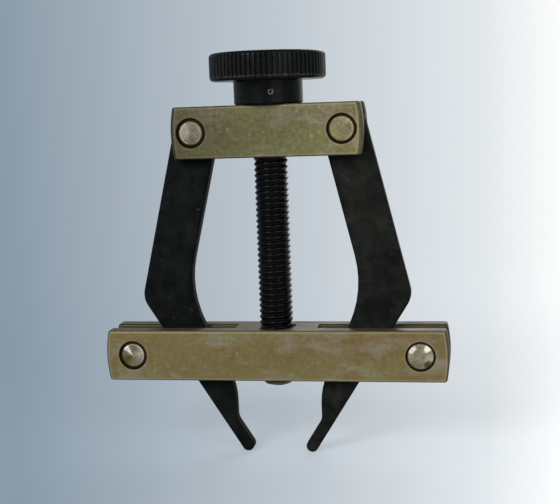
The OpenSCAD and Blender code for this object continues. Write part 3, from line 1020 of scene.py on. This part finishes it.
def screw_ends(radius, height):
    """Run-out of the thread into the shank, and the chamfer of the free end."""
    run_out = np.clip((height - shank_low) / THREAD_PITCH + 1, 0, 1)
    radius = radius + (SCREW_R - radius) * run_out
    free_end = CREST_R - SCREW_CHAMFER + np.maximum(height - screw_low, 0)
    return np.minimum(radius, free_end)


screw = cut(threaded_rod("screw_threaded", screw_low, screw_high, 0, screw_ends), cross_hole())
stands_for(screw, "screw", oxide_screw)

# %% [markdown]
# ## Roll pin
# The roll pin is a strip of spring steel rolled into a slit tube. The frame's shape is right, so it only
# gets a finish: grey, and paler where the hammer that drove it in has rubbed it bright.

# %% Roll pin
def spring_steel():
    """Grey rolled spring steel with paler hammered spots."""
    material, tree = new_material("spring_steel")
    place = add(tree, "TexCoord").outputs["Object"]
    spot = add(tree, "TexNoise", {"Vector": place, "Scale": per_mm(0.6), "Detail": 3.0}).outputs["Fac"]
    colour = layered(tree, linear("#3b3a38"), [(spot, 0.4, 0.65, 1.0, "#6c6a65")])
    relief = add(tree, "Bump", {"Height": spot, "Strength": 0.4, "Distance": 0.03 * MM}).outputs[0]
    finish = {"Base Color": colour, "Metallic": 0.3, "Roughness": 0.55, "Normal": relief}
    shader = add(tree, "BsdfPrincipled", finish)
    add(tree, "OutputMaterial", {"Surface": shader.outputs[0]})
    return material


roll_pin = frame["nodes"]["knob_roll_pin"]
roll_pin.data.materials.clear()
roll_pin.data.materials.append(spring_steel())
print("roll pin has", roll_pin.data.materials[0].name)

# %% [markdown]
# ## Floor and backdrop
# A pale floor curves up all round into a wall, as a studio sweep does, so no line shows behind the tool
# from any side. Its shade goes from blue grey on the left to nearly white on the right. It turns about one
# fixed spot, from which the photograph was taken, so floor and wall have the same shade one above the
# other. Round that spot, to its sides and behind it the paper keeps its middle shade.

# %% Shades of the paper
FLOOR_R, SWEEP_R, WALL_H = 0.5, 0.4, 0.9
SWEEP_STEPS = 24
VIEW_EDGE = math.sin(math.atan(FRAME_WIDTH_PX / 2 / FOCAL_LENGTH_PX))
SIDE_FADE = (0.7, 0.966)
SPOT_FADE = (0.05, 0.25)


def sweep():
    """Bowl: a flat disc, a quarter circle up and a straight wall, turned round the z axis."""
    bend = np.radians(np.linspace(0, 90, SWEEP_STEPS))
    profile = np.concatenate([
        [(0, 0), (FLOOR_R / 3, 0)],
        np.stack([FLOOR_R + SWEEP_R * np.sin(bend), SWEEP_R * (1 - np.cos(bend))], -1),
        [(FLOOR_R + SWEEP_R, WALL_H)],
    ])
    rings = turned(profile, "z")
    _, quads = ring_quads(rings)
    mesh = bpy.data.meshes.new("floor")
    mesh.from_pydata(rings.reshape(-1, 3), [], quads)
    mesh.shade_smooth()
    made = bpy.data.objects.new("floor", mesh)
    scene.collection.objects.link(made)
    return made


def fanned_shades(tree, place):
    """Shade by direction: the sine of the angle round the spot goes through the four tones.

    The sine fades to nothing close to the spot, and away from the direction that the spot looks in, by
    the cosine of the same angle. At the edges of the picture it reaches the first and the last tone.
    """
    spot = {"Vector": place, "Location": CAMERA_PLACE, "Rotation": (0, 0, CAMERA_YAW)}
    fan = add(tree, "Mapping", spot, vector_type="TEXTURE").outputs[0]
    flat = add(tree, "VectorMath", {0: fan, 1: (1, 1, 0)}, operation="MULTIPLY").outputs[0]
    spoke = add(tree, "VectorMath", {0: flat}, operation="NORMALIZE").outputs[0]
    sine, cosine, _ = add(tree, "SeparateXYZ", {0: spoke}).outputs
    walk = add(tree, "VectorMath", {0: flat}, operation="LENGTH").outputs["Value"]
    for source, (start, full) in ((cosine, SIDE_FADE), (walk, SPOT_FADE)):
        fade = {"Value": source, "From Min": start, "From Max": full}
        faded = add(tree, "MapRange", fade, interpolation_type="SMOOTHSTEP").outputs[0]
        sine = add(tree, "Math", {0: sine, 1: faded}, operation="MULTIPLY").outputs[0]
    share = add(tree, "MapRange", {"Value": sine, "From Min": -VIEW_EDGE, "From Max": VIEW_EDGE}).outputs[0]
    ramp = add(tree, "ValToRGB", {0: share})
    stops = ramp.color_ramp.elements
    for at in (0.5, 0.87):
        stops.new(at)
    for stop, tone in zip(stops, ("#899aa8", "#bfc8d0", "#e3e8eb", "#fcfdfd")):
        stop.color = linear(tone)
    return ramp.outputs[0]


print("the picture's edges lie", round(math.degrees(math.asin(VIEW_EDGE)), 1), "degrees from its middle")

# %% [markdown]
# ### Light of the paper
# The lamps light the paper near the tool, which leaves a soft shadow, and it glows by as much as they leave
# out. Further off it shows its plain shade. A little of the glow reaches the tool from all sides.

# %% Floor and backdrop
PAPER_SHARE = 0.5
GLOW_NEAR = 0.66
GLOW_AROUND = 0.22
SHADOW_R, PLAIN_R = 0.12, 0.4


def backdrop_paper():
    """Pale paper: lit and glowing near the tool, plain shade from a distance on, where it is seen.

    What is seen, also by way of metal or glass, is told from what only gets the light.
    """
    material, tree = new_material("backdrop_paper")
    place = add(tree, "TexCoord").outputs["Object"]
    shades = fanned_shades(tree, place)
    dull = {0: 1 - PAPER_SHARE, MIX_A: shades, MIX_B: linear("#000000")}
    dulled = add(tree, "Mix", dull, data_type="RGBA").outputs[MIX_OUT]
    paper = add(tree, "BsdfDiffuse", {"Color": dulled}).outputs[0]
    rays = add(tree, "LightPath").outputs
    seen = rays["Is Camera Ray"]
    for ray in ("Is Glossy Ray", "Is Transmission Ray"):
        seen = add(tree, "Math", {0: seen, 1: rays[ray]}, operation="MAXIMUM").outputs[0]
    reach = add(tree, "VectorMath", {0: place}, operation="LENGTH").outputs["Value"]
    fade = {"Value": reach, "From Min": SHADOW_R, "From Max": PLAIN_R}
    far = add(tree, "MapRange", fade, interpolation_type="SMOOTHSTEP").outputs[0]
    seen_far = add(tree, "Math", {0: far, 1: seen}, operation="MULTIPLY").outputs[0]
    glow = {"Value": seen, "To Min": GLOW_AROUND, "To Max": GLOW_NEAR}
    strength = add(tree, "MapRange", glow).outputs[0]
    lit = add(tree, "Emission", {"Color": shades, "Strength": strength}).outputs[0]
    near = add(tree, "AddShader", {0: paper, 1: lit}).outputs[0]
    plain = add(tree, "Emission", {"Color": shades}).outputs[0]
    surface = add(tree, "MixShader", {0: seen_far, 1: near, 2: plain})
    add(tree, "OutputMaterial", {"Surface": surface.outputs[0]})
    return material


floor = sweep()
floor.data.materials.append(backdrop_paper())
print("floor", len(floor.data.polygons), "faces")

# %% [markdown]
# ## Light
# Soft studio light: a large lamp in front and to the left, a weaker one to the right, one behind the tool
# for its back, and a faint sky over the open top. The strong lamps stand on the camera's side, as the
# light in the photograph does, so front faces are bright and top faces are darker. The table gives each
# lamp's place and size in metres and its power in watts.

# %% Light
TOOL_MIDDLE = Vector((0, 0, 60)) * MM
LAMPS = {
    "key": ((-0.3, -0.6, 0.4), 0.35, 3.75),
    "fill": ((0.42, -0.5, 0.3), 0.4, 1.45),
    "back": ((0.1, 0.62, 0.42), 0.5, 1.9),
}
SKY_STRENGTH = 0.1


def soft_lamp(name, place, size, power):
    """Square lamp that faces the middle of the tool."""
    data = bpy.data.lights.new(name, "AREA")
    data.size = size
    data.energy = power
    lamp = bpy.data.objects.new(name, data)
    scene.collection.objects.link(lamp)
    lamp.location = place
    aim = TOOL_MIDDLE - Vector(place)
    lamp.rotation_mode = "QUATERNION"
    lamp.rotation_quaternion = aim.to_track_quat("-Z", "Y")
    lamp.visible_camera = False
    print(name, "lamp", power, "watts")


for name, (place, size, power) in LAMPS.items():
    soft_lamp(name, place, size, power)
world = bpy.data.worlds.new("sky")
scene.world = world
world.use_nodes = True
sky = world.node_tree.nodes["Background"].inputs
sky["Color"].default_value = linear("#dfe4e8")
sky["Strength"].default_value = SKY_STRENGTH
scene.view_settings.view_transform = "Standard"
